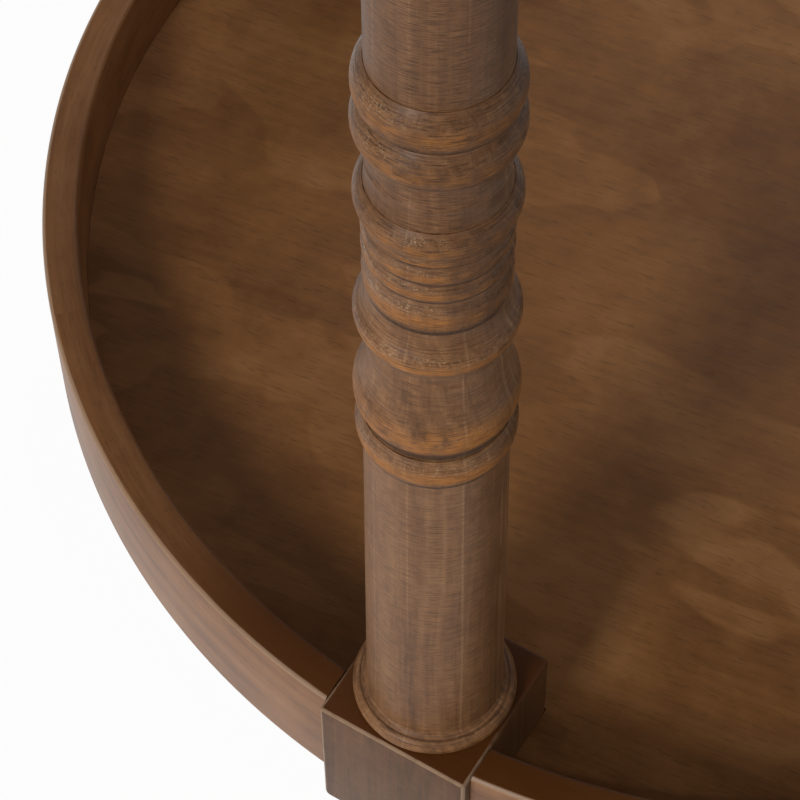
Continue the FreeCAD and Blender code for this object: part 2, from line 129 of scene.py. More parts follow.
def copy_piece(piece, name, matrix):
    """A copy with its own mesh, moved by a matrix."""
    twin = bpy.data.objects.new(name, piece.data.copy())
    twin.data.name = name
    twin.data.transform(matrix)
    bpy.context.collection.objects.link(twin)
    return twin


def mark_stock(piece, master, offset):
    """Keep each point's place in the length of wood that the piece was cut from."""
    layer = piece.data.attributes.new("stock", "FLOAT_VECTOR", "POINT")
    for index, vertex in enumerate(master.data.vertices):
        layer.data[index].vector = vertex.co + offset


def remove_piece(piece):
    """Delete a master once its copies are made; its object goes with its mesh."""
    bpy.data.meshes.remove(piece.data)


def paint(piece, name, values):
    """Store one number per vertex for a finish to read."""
    layer = piece.data.attributes.new(name, "FLOAT", "POINT")
    layer.data.foreach_set("value", values)


print("helpers are ready")

# %% [markdown]
# ## The outline of the turned work
# A turner works from an outline: beads that swell, coves that hollow, fillets and plain shanks. Each
# step here is a kind, a rise along the leg, the radius at its end and its swell, in millimetres. A
# line, step, ledge or quirk is straight, a bead, bulb or ring swells, and a cove is hollow. A curve
# could be drawn by eye, but steps with sizes can be held against the engineering model. Three marks
# are noted on the way, because they decide the finish: the crest of a bead, which sandpaper rubs and
# where a warm highlight is also painted, its upper flank, which hands polish and where glints are
# painted, and the creases beside it, where shade is painted.

# %% Follow an outline
ARC_STEPS = 12
LINE_STEP = 6 * MM
MOST_LINE_STEPS = 24
CREASE_LENGTH = 0.9 * MM
CREASES = {"line": 0.3, "ledge": 0.0, "step": 0.4, "quirk": 0.7}  # painted shade at straight steps
UPPER_FROM = 0.55  # share of the way up a bead where its upper flank begins
UNDER_TO = 0.46  # share of the way up a bead to which painted shade lies


def arc_between(start, stop, swell):
    """Points on a circular arc that bows by swell, to the outside when positive."""
    chord = stop - start
    middle = (start + stop) / 2
    outward = Vector((chord.y, -chord.x)).normalized()
    half = chord.length / 2
    bow = (half * half + swell * swell) / (2 * abs(swell))
    side = math.copysign(1, swell)
    centre = middle + outward * (swell - side * bow)
    spread = math.asin(min(1, half / bow))
    points = []
    for index in range(1, ARC_STEPS + 1):
        turn = -spread + 2 * spread * index / ARC_STEPS
        along = chord.normalized() * (bow * math.sin(turn))
        across = outward * (side * bow * math.cos(turn))
        points.append(centre + along + across)
    return points


def arc_marks(kind, share):
    """The crest, flank and crease of a point that lies a share of the way up an arc."""
    bulge = math.sin(math.pi * share)
    upper = math.sin(math.pi * max(0, share - UPPER_FROM) / (1 - UPPER_FROM))
    under = max(0, 1 - share / UNDER_TO)
    marks = {
        "bead": (bulge ** 2, upper, under),
        "bulb": (min(1, 1.6 * bulge), 0.5 * upper, under),
        "ring": (0.3 * bulge, 0, 0.6 * (1 - bulge) ** 3),
        "cove": (0, 0, 0.2 * bulge),
    }
    return marks[kind]


def line_shares(kind, length):
    """Where along a straight step its samples lie, with two close to the ends of a long one."""
    parts = max(1, min(MOST_LINE_STEPS, round(length / LINE_STEP)))
    near = min(0.4, CREASE_LENGTH / length) if kind == "line" else 0.5
    return sorted({near, 1 - near} | {index / parts for index in range(1, parts + 1)})


def trace_outline(base, steps):
    """Return (radius, height, (crest, flank, crease)) samples, bottom to top, in metres."""
    spot = Vector((0, base))
    samples = [(spot.x, spot.y, (0, 0, 0))]
    for kind, rise, radius, swell in steps:
        stop = Vector((radius * MM, spot.y + rise * MM))
        if kind in CREASES:
            for share in line_shares(kind, (stop - spot).length):
                point = spot.lerp(stop, share)
                gathered = CREASES[kind] if kind != "line" or share == 1 else 0
                samples.append((point.x, point.y, (0, 0, gathered)))
        else:
            sign = -1 if kind == "cove" else 1
            for index, point in enumerate(arc_between(spot, stop, sign * swell * MM), start=1):
                samples.append((point.x, point.y, arc_marks(kind, index / ARC_STEPS)))
        spot = stop
    samples.append((0, spot.y, (0, 0, 0)))
    return samples


print("an arc has %d samples" % ARC_STEPS)

# %% [markdown]
# ## Steps of a spindle and a foot
# From the block upwards, a spindle has a base ring, a plain shank, a collar, a bulb, a disc bead, a
# reeded neck, a saucer bead, a flare, two beads one above the other and a thinner shank that runs up
# to a cap ring under the upper block. The upper shank takes up what is left between the blocks, so
# that the spindle always reaches from one to the other.

# %% Write down the steps
UPPER_SHANK_RADIUS = 17.0
SPINDLE_STEPS = (
    ("step", 0, 23.0, 0), ("ring", 6, 23.0, 2.3),  # base ring
    ("cove", 2.6, 20.9, 0.6), ("line", 135.0, 19.6, 0),  # lower shank
    ("step", 0, 20.0, 0), ("bead", 12.4, 20.0, 1.65),  # collar
    ("step", 0, 19.6, 0), ("quirk", 2.3, 19.6, 0),  # groove
    ("step", 0, 19.7, 0), ("bulb", 14.2, 20.3, 1.9),  # bulb
    ("cove", 13.5, 18.2, 0.4), ("cove", 7.5, 18.9, 0.8),  # throat
    ("bead", 9.5, 19.6, 2.05), ("cove", 6, 18.0, 0.35),  # disc bead and its scoop
    ("bead", 13.2, 18.0, 0.8), ("bead", 6.9, 18.0, 0.8),  # plain band and a reed
    ("bead", 6.9, 18.0, 0.8), ("bead", 3.45, 18.0, 0.4),  # a reed and half a reed
    ("ledge", 0, 18.1, 0), ("bead", 9.9, 18.1, 2.4),  # saucer bead
    ("ledge", 0, 17.9, 0), ("cove", 7.3, 17.6, 0.3),  # flare
    ("ledge", 0.7, 17.3, 0), ("cove", 7.5, 17.3, 0.4),  # cove under the twin beads
    ("ledge", 0, 17.8, 0), ("bead", 12.4, 17.7, 2.85),  # lower twin bead
    ("bead", 13.9, 17.2, 2.75), ("ledge", 0, UPPER_SHANK_RADIUS, 0),  # upper twin bead
)
CAP_STEPS = (("step", 0, 18.8, 0), ("ring", 6, 18.8, 2.0))
FOOT_STEPS = (
    ("step", 0, 13, 0), ("ring", 46, 19, 3),
    ("cove", 13, 16.5, 2), ("step", 0, 19.5, 0),
    ("ring", 21, 19.5, 2.5),
)

spindle_base = lower_block_high.z
spindle_top = upper_block_low.z
turned_height = sum(rise for _, rise, _, _ in SPINDLE_STEPS + CAP_STEPS)
upper_shank = (spindle_top - spindle_base) / MM - turned_height
upper_steps = (("line", upper_shank, UPPER_SHANK_RADIUS, 0),) + CAP_STEPS
spindle_outline = trace_outline(spindle_base, SPINDLE_STEPS + upper_steps)
foot_outline = trace_outline(foot_low.z, FOOT_STEPS)
print("spindle outline: %d points, upper shank %.1f mm" % (len(spindle_outline), upper_shank))

# %% [markdown]
# ## Turning on a lathe
# One point is extruded along the outline, then the whole line is spun about the leg's axis, as a
# blank spins on a lathe. Stacked primitives would leave seams between the beads, and a Screw modifier
# would have to be applied before the marks could be painted, so the spin operator does the work. Each
# leg is cut from its own stretch of a long blank, so no two legs have the same grain.

# %% Spin the outlines
LEGS = 3
SPIN_STEPS = 144
CREASE_ANGLE = 28
STOCK_LENGTH = 0.83


def spot_key(radius, height):
    """A key by which a vertex finds the sample that it was spun from."""
    return round(radius / MM, 2), round(height / MM, 2)


def turn_on_lathe(name, outline):
    """Spin an outline into a closed piece and paint its marks on it."""
    start_piece()
    bpy.ops.mesh.primitive_plane_add(size=MM, location=(0, 0, 0))
    piece = bpy.context.object
    piece.name = name
    piece.data.name = name
    bpy.ops.object.mode_set(mode="EDIT")
    bpy.ops.mesh.select_all(action="SELECT")
    bpy.ops.mesh.merge(type="CENTER")
    radius, height, _ = outline[0]
    bpy.ops.transform.translate(value=(radius, 0, height))
    for (old_radius, old_height, _), (radius, height, _) in zip(outline, outline[1:]):
        move = (radius - old_radius, 0, height - old_height)
        bpy.ops.mesh.extrude_region_move(TRANSFORM_OT_translate={"value": move})
    bpy.ops.mesh.select_all(action="SELECT")
    bpy.ops.mesh.spin(steps=SPIN_STEPS, angle=math.tau, center=(0, 0, 0), axis=(0, 0, 1))
    bpy.ops.object.mode_set(mode="OBJECT")
    clean_shell()
    marks = {spot_key(radius, height): mark for radius, height, mark in outline}
    found = []
    for vertex in piece.data.vertices:
        x, y, z = vertex.co
        found.append(marks.get(spot_key(math.hypot(x, y), z), (0, 0, 0)))
    for index, mark_name in enumerate(("crest", "flank", "crease")):
        paint(piece, mark_name, [mark[index] for mark in found])
    smooth(piece, CREASE_ANGLE)
    return piece


master_spindle = turn_on_lathe("master_spindle", spindle_outline)
master_foot = turn_on_lathe("master_foot", foot_outline)
turned_pieces = []
for index in range(LEGS):
    place = Matrix.Translation(leg_axis(index)) @ Matrix.Rotation(leg_turn(index), 4, "Z")
    for master, node in ((master_spindle, "spindle_%d"), (master_foot, "foot_%d")):
        name = node % (index + 1)
        piece = copy_piece(master, "turned_" + name, place)
        mark_stock(piece, master, Vector((0, 0, index * STOCK_LENGTH)))
        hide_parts(name)
        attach(piece, "root")
        turned_pieces.append(piece)
spindle_faces = len(master_spindle.data.polygons)
remove_piece(master_spindle)
remove_piece(master_foot)
print("turned pieces: %d, with %d faces in a spindle" % (len(turned_pieces), spindle_faces))

# %% [markdown]
# ## Leg blocks
# The blocks are cut square, the two lower edges that run outwards are rounded over with a large bit,
# and all other edges are just eased with sandpaper. A Bevel modifier would need weights to tell them
# apart, so a cube is bevelled twice in edit mode. The eased edges on the outside are marked, so that
# the finish can wear through there and a highlight can be painted along them.

# %% Model the leg blocks
SHOULDER_ROUND = 7 * MM
SHOULDER_STEPS = 10
BLOCK_EASE = 1.4 * MM
BLOCK_EASE_STEPS = 4
SHARP_ANGLE = 50
SOFT_ANGLE = 40
EDGE_MARK_SHARE = 0.85


def model_block():
    """A block on its own axis, with its outer face towards +X."""
    start_piece()
    bpy.ops.mesh.primitive_cube_add(size=1, location=(0, 0, block_height / 2))
    piece = bpy.context.object
    piece.name = "master_block"
    piece.scale = (BLOCK_WIDTH, BLOCK_WIDTH, block_height)
    bpy.ops.object.transform_apply(location=True, rotation=True, scale=True)
    half = BLOCK_WIDTH / 2
    for edge in piece.data.edges:
        first, second = (piece.data.vertices[index].co for index in edge.vertices)
        runs_outwards = abs(first.x - second.x) > half
        edge.select = runs_outwards and max(first.z, second.z) < block_height / 2
    for thing in list(piece.data.polygons) + list(piece.data.vertices):
        thing.select = False
    bpy.ops.object.mode_set(mode="EDIT")
    bpy.ops.mesh.select_mode(type="EDGE")
    bpy.ops.mesh.bevel(offset=SHOULDER_ROUND, segments=SHOULDER_STEPS, affect="EDGES")
    bpy.ops.mesh.select_all(action="DESELECT")
    bpy.ops.mesh.edges_select_sharp(sharpness=math.radians(SHARP_ANGLE))
    bpy.ops.mesh.bevel(
        offset=BLOCK_EASE, segments=BLOCK_EASE_STEPS, affect="EDGES", clamp_overlap=True
    )
    bpy.ops.mesh.select_mode(type="VERT")
    bpy.ops.object.mode_set(mode="OBJECT")
    clean_shell()
    edge_marks = []
    for vertex in piece.data.vertices:
        x, y, z = vertex.co
        rooms = sorted((half - abs(x), half - abs(y), block_height - z, z))
        outside = x > half - 2 * BLOCK_EASE
        by_two_faces = rooms[1] < EDGE_MARK_SHARE * BLOCK_EASE
        edge_marks.append(1.0 if outside and by_two_faces else 0.0)
    paint(piece, "edge", edge_marks)
    smooth(piece, SOFT_ANGLE)
    return piece


master_block = model_block()
blocks = []
for index in range(LEGS):
    turn = Matrix.Rotation(leg_turn(index), 4, "Z")
    for tier, bottom in (("lower", lower_block_low.z), ("upper", upper_block_low.z)):
        node = "%s_block_%d" % (tier, index + 1)
        place = Matrix.Translation(leg_axis(index) + Vector((0, 0, bottom))) @ turn
        piece = copy_piece(master_block, "square_" + node, place)
        mark_stock(piece, master_block, Vector((0, 0, bottom + index * STOCK_LENGTH)))
        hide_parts(node)
        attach(piece, "root")
        blocks.append(piece)
remove_piece(master_block)
print("leg blocks:", len(blocks))

# %% [markdown]
# ## Bent rims
# A rim is a flat band of wood bent round the tray and cut where a block interrupts it. Its section
# is a plane with eased corners, spun through a third of a turn. A straight bar could be bent as well,
# but a spin gives the radius exactly. Two bisecting planes then cut the ends parallel to the blocks'
# sides, as a saw would. Edges on the outside are marked most, for wear and a painted highlight.

# %% Bend and cut the rims
RIM_EASE = 1.6 * MM
RIM_EASE_STEPS = 5
BEND_STEPS = 128
INSIDE_EDGE_MARK = 0.45


def bend_rim():
    """A lower rim whose middle lies on the X axis."""
    start_piece()
    thickness = tray_radius - rim_inside
    middle_radius = (tray_radius + rim_inside) / 2
    centre = (middle_radius, 0, lower_rim_low.z + rim_height / 2)
    bpy.ops.mesh.primitive_plane_add(size=1, location=centre, rotation=(math.pi / 2, 0, 0))
    piece = bpy.context.object
    piece.name = "master_rim"
    piece.scale = (thickness, rim_height, 1)
    bpy.ops.object.transform_apply(location=True, rotation=True, scale=True)
    bpy.ops.object.mode_set(mode="EDIT")
    bpy.ops.mesh.select_all(action="SELECT")
    bpy.ops.mesh.bevel(offset=RIM_EASE, segments=RIM_EASE_STEPS, affect="VERTICES")
    bpy.ops.mesh.select_all(action="SELECT")
    bpy.ops.mesh.spin(steps=BEND_STEPS, angle=math.tau / LEGS, center=(0, 0, 0), axis=(0, 0, 1))
    bpy.ops.object.mode_set(mode="OBJECT")
    middle = sum((vertex.co for vertex in piece.data.vertices), Vector())
    piece.data.transform(Matrix.Rotation(-math.atan2(middle.y, middle.x), 4, "Z"))
    half_step = math.pi / LEGS
    bpy.ops.object.mode_set(mode="EDIT")
    for side in (-1, 1):
        away = Vector((-math.sin(half_step), side * math.cos(half_step), 0))
        cut = away * -(BLOCK_WIDTH / 2 + GLUE_LINE)
        bpy.ops.mesh.select_all(action="SELECT")
        bpy.ops.mesh.bisect(plane_co=cut, plane_no=away, use_fill=True, clear_outer=True)
    bpy.ops.object.mode_set(mode="OBJECT")
    clean_shell()
    edge_marks = []
    for vertex in piece.data.vertices:
        x, y, z = vertex.co
        radius = math.hypot(x, y)
        side_room = min(radius - rim_inside, tray_radius - radius)
        level_room = min(z - lower_rim_low.z, lower_rim_high.z - z)
        edge_share = 1.0 if radius > middle_radius else INSIDE_EDGE_MARK
        edge_marks.append(edge_share if max(side_room, level_room) < EDGE_MARK_SHARE * RIM_EASE else 0.0)
    paint(piece, "edge", edge_marks)
    smooth(piece, SOFT_ANGLE)
    return piece


master_rim = bend_rim()
rims = []
for index in range(LEGS):
    turn = Matrix.Rotation(leg_turn(index) + math.pi / LEGS, 4, "Z")
    for tier, rise in (("lower", 0), ("upper", tier_rise)):
        node = "%s_rim_%d" % (tier, index + 1)
        piece = copy_piece(master_rim, "bent_" + node, Matrix.Translation((0, 0, rise)) @ turn)
        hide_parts(node)
        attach(piece, "root")
        rims.append(piece)
remove_piece(master_rim)
print("rims:", len(rims))

# %% [markdown]
# ## Writing finishes as sums
# A finish is a net of nodes, which could be wired up one by one. Its sums are easier to read as
# arithmetic, so Value wraps one output of a node, and the usual signs add the Math nodes.


# %% A wrapper for shader maths
class Value:
    """One output of a node: a number, a colour, a vector or a shader."""

    def __init__(self, finish, socket):
        self.finish = finish
        self.socket = socket

    def __add__(self, other):
        return self.finish.math("ADD", self, other)

    def __sub__(self, other):
        return self.finish.math("SUBTRACT", self, other)

    def __rsub__(self, other):
        return self.finish.math("SUBTRACT", other, self)

    def __mul__(self, other):
        return self.finish.math("MULTIPLY", self, other)

    def __truediv__(self, other):
        return self.finish.math("DIVIDE", self, other)

    def __pow__(self, other):
        return self.finish.math("POWER", self, other)

    __radd__ = __add__
    __rmul__ = __mul__


print("sums can be written with values")

# %% [markdown]
# ## The nodes of a finish
# Any node comes from one method, which takes the node's type, its settings and what goes into its
# sockets. The short methods after it are what a wood finish needs again and again: stripes, noise,
# soft steps, ramps and bumps. A node group could hold them too, but plain methods are easier to read.


# %% A finish made of values
class Finish:
    """The nodes of a material, or of the world, built from values."""

    def __init__(self, owner):
        self.owner = owner
        owner.use_nodes = True
        self.tree = owner.node_tree
        self.tree.nodes.clear()

    def make(self, kind, settings=None, sockets=None, output=0):
        """Add a node, set it up, fill its sockets and return one output."""
        node = self.tree.nodes.new(kind)
        for key, setting in (settings or {}).items():
            if key == "stops":
                self.set_stops(node.color_ramp, setting)
            else:
                setattr(node, key, setting)
        for key, given in (sockets or {}).items():
            if isinstance(given, Value):
                self.tree.links.new(given.socket, node.inputs[key])
            else:
                node.inputs[key].default_value = given
        return Value(self, node.outputs[output]) if node.outputs else None

    def set_stops(self, ramp, stops):
        """Give a colour ramp its (position, colour) stops."""
        while len(ramp.elements) < len(stops):
            ramp.elements.new(1.0)
        for element, (position, colour) in zip(ramp.elements, stops):
            element.position = position
            element.color = (*colour, 1)

    def math(self, operation, *numbers):
        """A sum of numbers and values."""
        return self.make("ShaderNodeMath", {"operation": operation}, dict(enumerate(numbers)))

    def length(self, first, second):
        """The length of the long side of a right-angled triangle."""
        return self.math("SQRT", first * first + second * second)

    def place(self):
        """The three coordinates of a point of the table."""
        return self.split(self.make("ShaderNodeTexCoord", output="Object"))

    def stock(self):
        """The three coordinates of a point in the blank that it was cut from."""
        return self.split(self.make("ShaderNodeAttribute", {"attribute_name": "stock"}, None, "Vector"))

    def painted(self, name):
        """A number that was painted on the mesh."""
        return self.make("ShaderNodeAttribute", {"attribute_name": name}, None, "Fac")

    def split(self, vector):
        """The three numbers of a vector."""
        first = self.make("ShaderNodeSeparateXYZ", None, {0: vector})
        return [Value(self, socket) for socket in first.socket.node.outputs]

    def vector(self, x, y, z):
        """A vector from three numbers."""
        return self.make("ShaderNodeCombineXYZ", None, {0: x, 1: y, 2: z})

    def noise(self, vector, scale, detail=3.0, roughness=0.55, distortion=0.0):
        """A cloudy pattern in space."""
        sockets = {"Vector": vector, "Scale": scale, "Detail": detail}
        sockets.update({"Roughness": roughness, "Distortion": distortion})
        return self.make("ShaderNodeTexNoise", None, sockets)

    def lines(self, along, scale, detail=2.0, roughness=0.5):
        """Uneven stripes across one coordinate."""
        sockets = {"W": along, "Scale": scale, "Detail": detail, "Roughness": roughness}
        return self.make("ShaderNodeTexNoise", {"noise_dimensions": "1D"}, sockets)

    def rise(self, value, low, high):
        """From zero at low to one at high, smooth between. Low may be the larger number."""
        sockets = {"Value": value, "From Min": low, "From Max": high}
        return self.make("ShaderNodeMapRange", {"interpolation_type": "SMOOTHSTEP"}, sockets)

    def ramp(self, value, stops):
        """A colour that passes through (position, colour) stops."""
        return self.make("ShaderNodeValToRGB", {"stops": stops}, {0: value})

    def blend(self, share, under, over, mode="MIX"):
        """Lay a plain colour over a changing one, by a share."""
        settings = {"data_type": "RGBA", "blend_type": mode}
        return self.make("ShaderNodeMix", settings, {0: share, 6: under, 7: (*over, 1)}, 2)

    def bump(self, height, depth, strength=1.0, under=None):
        """A relief of some depth in metres, on top of the relief under it."""
        sockets = {"Height": height, "Distance": depth, "Strength": strength}
        if under is not None:
            sockets["Normal"] = under
        return self.make("ShaderNodeBump", None, sockets)

    def show(self, shader, output="ShaderNodeOutputMaterial"):
        """Send a shader to the output and return the material or world."""
        self.make(output, None, {"Surface": shader})
        return self.owner

    def close(self, **looks):
        """End in a Principled shader and return the material."""
        sockets = {key.replace("_", " "): look for key, look in looks.items()}
        return self.show(self.make("ShaderNodeBsdfPrincipled", None, sockets))


def dress(pieces, material):
    """Give pieces one material and no other."""
    for piece in pieces:
        piece.data.materials.clear()
        piece.data.materials.append(material)


print("finishes are ready to be written")

# %% [markdown]
# ## Wood of the legs
# The legs are a close-grained wood with a brown stain and a satin lacquer. The growth rings are a
# solid pattern about a pith outside the leg, so they make loops where a bead cuts through them, and
# arcs on the end grain of a block, which a flat pattern wrapped round the leg would not. Each point's
# place in its length of wood was kept when the pieces were copied, so the grain runs on from a block
# into the turned work. Scales count the features in a metre.

# %% Grain that turned pieces and blocks share
STAIN_DARK = (0.066, 0.026, 0.008)
STAIN_MIDDLE = (0.200, 0.091, 0.036)
STAIN_LIGHT = (0.325, 0.164, 0.072)
PITH = (-30 * MM, 21 * MM)
RING_SCALE = 420
FIBRE_SCALE = 800
CLOUD_SCALE = 42
MOTTLE_SCALE = 260
SPECK_SCALE = 1500


def leg_grain(wood):
    """Patterns of a leg's wood and the stained colour that they make."""
    across, beside, along = wood.stock()
    drift = wood.noise(wood.vector(across * 20, beside * 20, along * 5), 1.0, 2.0)
    ring = wood.length(across - PITH[0] + drift * 0.012, beside - PITH[1] + drift * 0.008)
    rings = wood.lines(ring + along * 0.006, RING_SCALE, 3.0, 0.6)
    fibre = wood.noise(wood.vector(across, beside, along * 0.05), FIBRE_SCALE, 4.0, 0.65)
    cloud = wood.noise(wood.vector(across, beside, along * 0.45), CLOUD_SCALE, 4.0, 0.6)
    mottle = wood.noise(wood.vector(across, beside, along), MOTTLE_SCALE, 3.0, 0.6)
    speck = wood.noise(wood.vector(across, beside, along), SPECK_SCALE, 2.0, 0.7)
    tone = rings * 0.30 + fibre * 0.34 + cloud * 0.40 + mottle * 0.22
    stops = ((0.42, STAIN_DARK), (0.63, STAIN_MIDDLE), (0.86, STAIN_LIGHT))
    return SimpleNamespace(
        turn=wood.math("ARCTAN2", beside, across), along=along, drift=drift, fibre=fibre,
        cloud=cloud, mottle=mottle, speck=speck, colour=wood.ramp(tone, stops),
    )


print("grain lines: %d in a metre" % FIBRE_SCALE)

# %% [markdown]
# ## Finish of the turned work
# The lathe leaves fine lines and scratches round the leg, and pale streaks of grain run up it. Sanded
# crests are orange, partly with a painted warm highlight, the upper flanks of beads are polished and
# carry pale specks that are partly painted glints, and painted shade darkens the creases and the
# undersides of beads. The marks that were painted along the outline say where, so nothing has to be
# painted by hand. The wood is darker towards the top of a leg.

# %% Finish the turned pieces
TAN = (0.400, 0.225, 0.110)
BURNISH_AND_HIGHLIGHT = (0.420, 0.158, 0.032)
BARE_AND_GLINT = (0.480, 0.335, 0.195)
SHADE_AND_PORE_DARK = (0.020, 0.009, 0.004)
SATIN = {"Specular_IOR_Level": 0.14, "IOR": 1.5, "Coat_Roughness": 0.36, "Coat_IOR": 1.5}
STREAK_SCALE = 8  # in a radian round the leg
LATHE_SCALE = 1700
SCRATCH_SCALE = 2200
DARKER_FROM = 0.32  # heights above the floor, in metres
DARKER_TO = 0.42
STREAK_SHARE = 0.60
BURNISH_AND_HIGHLIGHT_SHARE = 0.90
DARKER_SHARE = 0.34
SCRATCH_SHARE = 0.70
LATHE_SHARE = 0.62
BARE_AND_GLINT_SHARE = 0.55
PAINTED_SHADE_SHARE = 0.90
TURNED_COAT = 0.18


def turned_finish():
    wood = Finish(bpy.data.materials.new("turned_wood"))
    grain = leg_grain(wood)
    _, _, height = wood.place()
    flank = wood.painted("flank")
    crest = wood.painted("crest") ** 1.5 * (1 - flank * 0.4)
    crease = wood.painted("crease")
    lathe = wood.lines(grain.along + grain.drift * 0.0006, LATHE_SCALE, 4.0, 0.85)
    scratch = wood.noise(wood.vector(grain.turn * 0.0014, grain.along, 0.0), SCRATCH_SCALE, 3.0, 0.7)

    streak = wood.rise(wood.lines(grain.turn + grain.drift * 0.10, STREAK_SCALE, 1.0), 0.62, 0.74)
    streak = streak * wood.rise(grain.cloud, 0.36, 0.60)
    colour = wood.blend(streak * STREAK_SHARE, grain.colour, TAN)
    # Sanded crests are laid in orange, which is partly a painted warm highlight.
    sanded_and_lit = crest * wood.rise(grain.cloud + grain.mottle * 0.7, 0.62, 1.04)
    colour = wood.blend(sanded_and_lit * BURNISH_AND_HIGHLIGHT_SHARE, colour, BURNISH_AND_HIGHLIGHT)
    # The wood is darker towards the top of a leg.
    darker = wood.rise(height, DARKER_FROM, DARKER_TO) * DARKER_SHARE
    scratched = wood.rise(scratch, 0.52, 0.36) * SCRATCH_SHARE
    colour = wood.blend(darker + scratched, colour, STAIN_DARK)
    colour = wood.blend(wood.rise(lathe, 0.50, 0.32) * LATHE_SHARE, colour, STAIN_DARK)
    # Pale specks on the upper flanks: partly bare wood, partly painted glints.
    bare_and_glint = wood.rise(grain.speck + grain.mottle * 0.3, 0.70, 0.82) * wood.rise(grain.cloud, 0.44, 0.62)
    colour = wood.blend(bare_and_glint * flank * BARE_AND_GLINT_SHARE, colour, BARE_AND_GLINT)
    patchy = (grain.speck - 0.5) * 0.7 + (grain.cloud - 0.5) * 0.4
    # Painted shade: the creases and the undersides of beads are darkened.
    painted_shade = wood.rise(crease + patchy, 0.20, 0.90)
    colour = wood.blend(painted_shade * PAINTED_SHADE_SHARE, colour, SHADE_AND_PORE_DARK)

    relief = wood.bump(lathe * 0.5 + scratch, 0.40 * MM, 0.6)
    relief = wood.bump(grain.fibre + grain.mottle * 0.5, 0.12 * MM, 0.5, relief)
    relief = wood.bump(grain.speck * (crease + flank * 0.4), 0.50 * MM, 0.6, relief)
    rough = 0.44 + grain.fibre * 0.12 - flank * 0.25
    coat = (1 - crest) * (1 - flank) * (1 - crease) * TURNED_COAT
    return wood.close(Base_Color=colour, Roughness=rough, Coat_Weight=coat, Normal=relief, **SATIN)


dress(turned_pieces, turned_finish())
print("%d turned pieces are finished" % len(turned_pieces))

# %% [markdown]
# ## Finish of the blocks
# The same wood, planed flat and stained darker. The tops of the blocks are darkened, a painted shade.
# The tops of the rims are level with them and darkened too, so one function finds both by height,
# where a material for each face would leave a hard line. Lacquer is left on the sides, and edges are
# worn to a paler tone, which also paints a highlight along them.

# %% Finish the blocks
BLOCK_TINT = (0.49, 0.47, 0.46)
WORN_AND_HIGHLIGHT = (0.400, 0.260, 0.160)
PAINTED_TOP_SHADE = (0.066, 0.018, 0.001)
TOP_FROM = 1.3 * MM  # depths under a top between which the painted shade sets in
TOP_TO = 0.2 * MM
CLEAR_FROM = 1 * MM  # heights above the lower tops between which it ends
CLEAR_TO = 2 * MM
TOP_SHADE_SHARE = 0.90
BLOCK_WEAR_AND_HIGHLIGHT = 0.60
BLOCK_COAT = 0.20


def on_top(wood, z):
    """One on the upper faces of blocks and rims, in both tiers."""
    lower_top, upper_top = lower_block_high.z, upper_block_high.z
    lower = wood.rise(z, lower_top - TOP_FROM, lower_top - TOP_TO)
    between = wood.rise(z, lower_top + CLEAR_FROM, lower_top + CLEAR_TO)
    upper = wood.rise(z, upper_top - TOP_FROM, upper_top - TOP_TO)
    return lower - between + upper


def block_finish():
    wood = Finish(bpy.data.materials.new("block_wood"))
    grain = leg_grain(wood)
    _, _, height = wood.place()
    top = on_top(wood, height)
    colour = wood.blend(1.0, grain.colour, BLOCK_TINT, "MULTIPLY")
    # Painted shade: the tops of the blocks are darkened.
    colour = wood.blend(top * TOP_SHADE_SHARE, colour, PAINTED_TOP_SHADE)
    # Worn edges are paler, which also paints a highlight along them.
    worn_and_highlit = wood.rise(wood.painted("edge") * 0.8 + grain.mottle * 0.5, 0.66, 1.10)
    colour = wood.blend(worn_and_highlit * BLOCK_WEAR_AND_HIGHLIGHT, colour, WORN_AND_HIGHLIGHT)
    relief = wood.bump(grain.fibre + grain.mottle * 0.5, 0.16 * MM, 0.5)
    rough = 0.42 + grain.fibre * 0.16
    coat = (1 - top) * BLOCK_COAT
    return wood.close(Base_Color=colour, Roughness=rough, Coat_Weight=coat, Normal=relief, **SATIN)


dress(blocks, block_finish())
print("%d blocks are finished" % len(blocks))

# %% [markdown]
# ## Rims
# A warmer stain on bent bands. A pattern on plain X and Y would run straight through a rim, as if it
# were sawn from a plank. Bent wood has grain that follows the bend, so the pattern is laid out on the
# way round the table and the height. Edges that hands and cloths rub are worn to a paler tone, which
# also paints a highlight along them, and the tops get a painted shade, darkest beside the blocks.
# Lacquer is left on the outside.

# %% Finish the rims
RIM_DARK = (0.090, 0.033, 0.009)
RIM_MIDDLE = (0.218, 0.092, 0.032)
RIM_LIGHT = (0.320, 0.154, 0.064)
RIM_FIBRE_SCALE = 560
RIM_FIGURE_SCALE = 130
RIM_CLOUD_SCALE = 30
RIM_PORE_SCALE = 2200
RUB_SCALE = 85
RIM_PORE_SHARE = 0.25
RIM_TOP_SHADE_LEAST = 0.24
RIM_TOP_SHADE_BY_BLOCKS = 0.66
RIM_WEAR_AND_HIGHLIGHT = 0.55
RIM_COAT = 0.30
OUTSIDE_FROM = 2 * MM  # depths under the outside between which lacquer sets in
OUTSIDE_TO = 0.5 * MM


